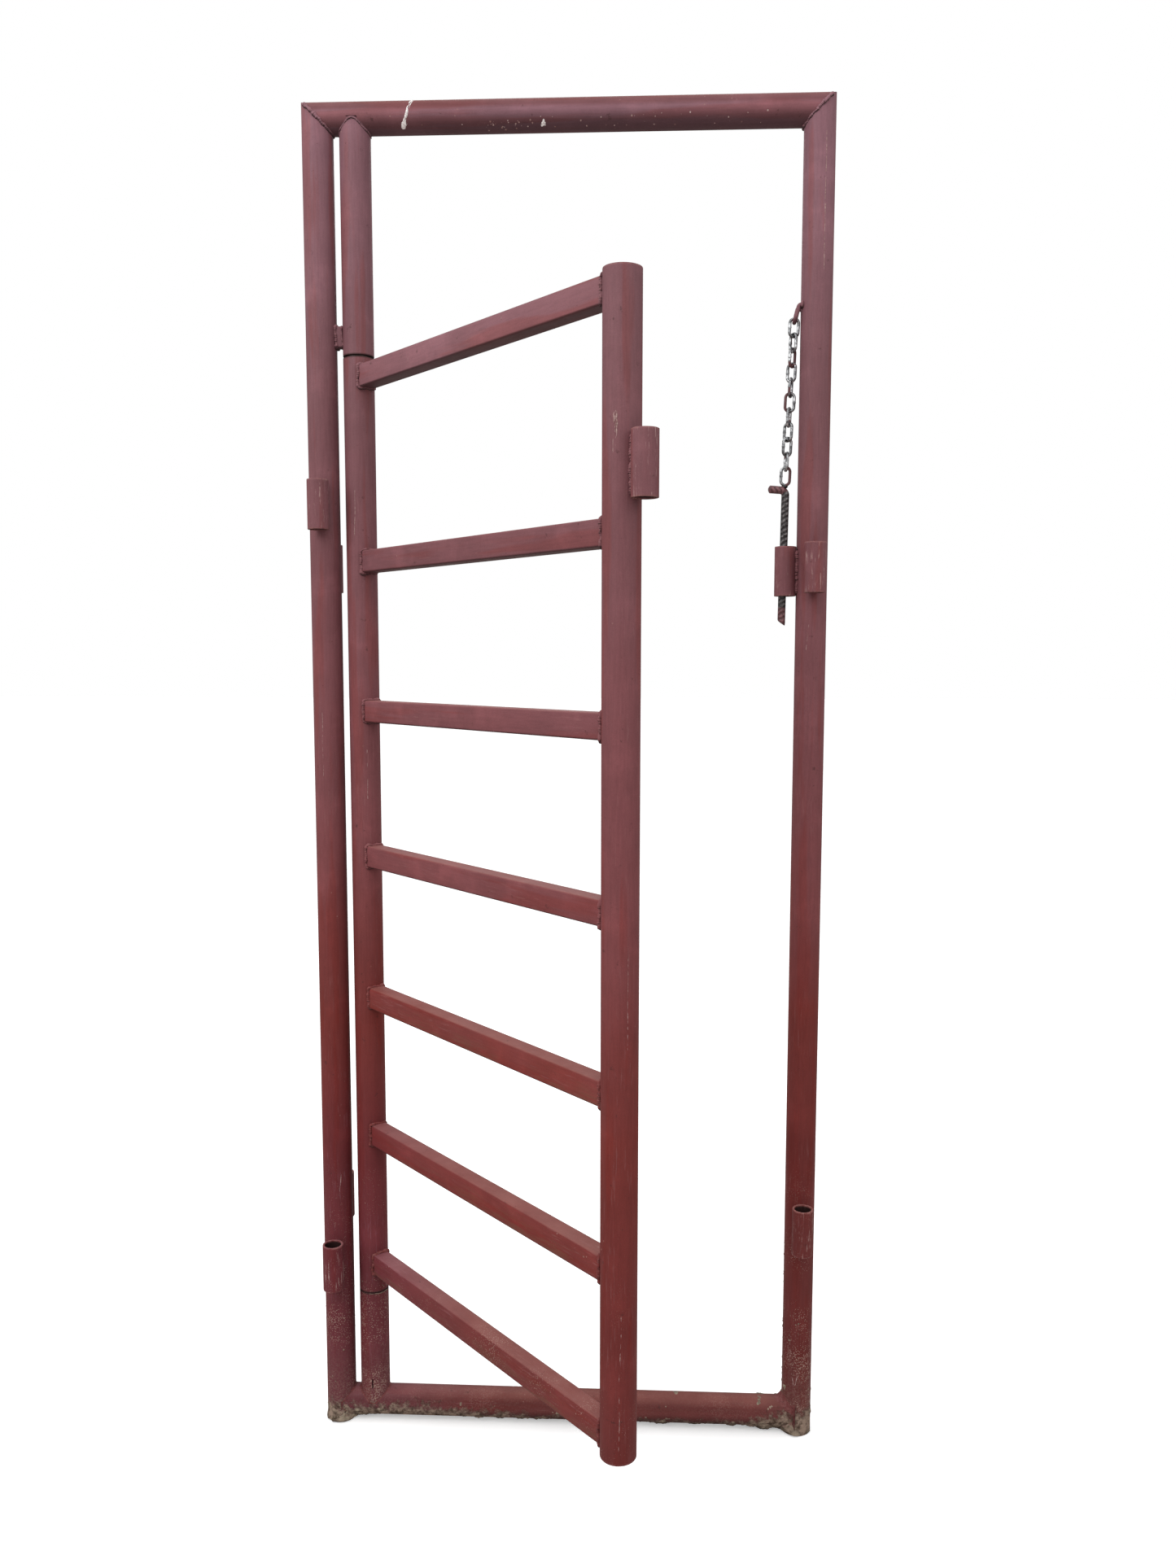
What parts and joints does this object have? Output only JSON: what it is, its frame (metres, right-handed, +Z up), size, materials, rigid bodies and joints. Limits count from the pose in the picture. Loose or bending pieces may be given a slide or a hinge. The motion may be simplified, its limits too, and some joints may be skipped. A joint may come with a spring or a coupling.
{
  "type": "livestock panel gate",
  "caption": "Welded tube gate frame for livestock panels with a barred swing leaf, connector sleeves and a latch pin on a chain.",
  "frame": {"origin": "axis of the left outer post at ground level", "axes": "+X along the gate towards the latch post, -Y the front, where the leaf opens, +Z up"},
  "size_m": [0.8204, 0.5711, 2.1432],
  "materials": {
    "red_paint": "worn dull red-oxide paint, dusty, with dried mud low down",
    "bare_steel": "bare greasy steel inside the hinge",
    "zinc_chain": "bright zinc with some red overspray",
    "rebar_steel": "dark scaled ribbed bar, partly overpainted red"
  },
  "bodies": {
    "frame": {"left_outer_post": "red_paint", "right_post": "red_paint", "top_rail": "red_paint", "bottom_rail": "red_paint", "upper_hinge_post": "red_paint", "lower_hinge_post": "red_paint", "upper_hinge_spigot": "bare_steel", "lower_hinge_spigot": "bare_steel", "hinge_post_bridge": "red_paint", "sleeve_left_front_lower": "red_paint", "sleeve_left_front_upper": "red_paint", "sleeve_left_back_lower": "red_paint", "sleeve_left_back_upper": "red_paint", "sleeve_right_front_lower": "red_paint", "sleeve_right_front_upper": "red_paint", "sleeve_right_back_lower": "red_paint", "sleeve_right_back_upper": "red_paint", "latch_sleeve": "red_paint", "chain_staple": "red_paint"},
    "leaf": {"hinge_tube": "red_paint", "swing_stile": "red_paint", "bar_1": "red_paint", "bar_2": "red_paint", "bar_3": "red_paint", "bar_4": "red_paint", "bar_5": "red_paint", "bar_6": "red_paint", "bar_7": "red_paint", "stile_latch_sleeve": "red_paint"},
    "chain_upper": {"chain_link_01": "zinc_chain", "chain_link_02": "zinc_chain", "chain_link_03": "zinc_chain", "chain_link_04": "zinc_chain", "chain_link_05": "zinc_chain"},
    "chain_lower": {"chain_link_06": "zinc_chain", "chain_link_07": "zinc_chain", "chain_link_08": "zinc_chain", "chain_link_09": "zinc_chain", "chain_link_10": "zinc_chain"},
    "pin": {"chain_link_11": "zinc_chain", "latch_pin": "rebar_steel"}
  },
  "joints": [
    {"name": "gate_swing", "type": "hinge", "parent": "frame", "child": "leaf", "pos_m": [0.0585, 0, 0.2314], "axis": [0, 0, 1], "range_deg": [-66, 44]},
    {"name": "pin_lift", "type": "hinge", "parent": "frame", "child": "chain_upper", "pos_m": [0.73828, 0, 1.80675], "axis": [0, 1, 0], "range_deg": [0, 64]},
    {"name": "chain_fold", "type": "hinge", "parent": "chain_upper", "child": "chain_lower", "pos_m": [0.73357, 0, 1.69435], "axis": [0, 1, 0], "range_deg": [-128, 0]},
    {"name": "pin_hang", "type": "hinge", "parent": "chain_lower", "child": "pin", "pos_m": [0.72886, 0, 1.58195], "axis": [0, 1, 0], "range_deg": [0, 64]}
  ],
  "couplings": [
    {"joint": "chain_fold", "follows": "pin_lift", "ratio": -2},
    {"joint": "pin_hang", "follows": "pin_lift", "ratio": 1}
  ]
}
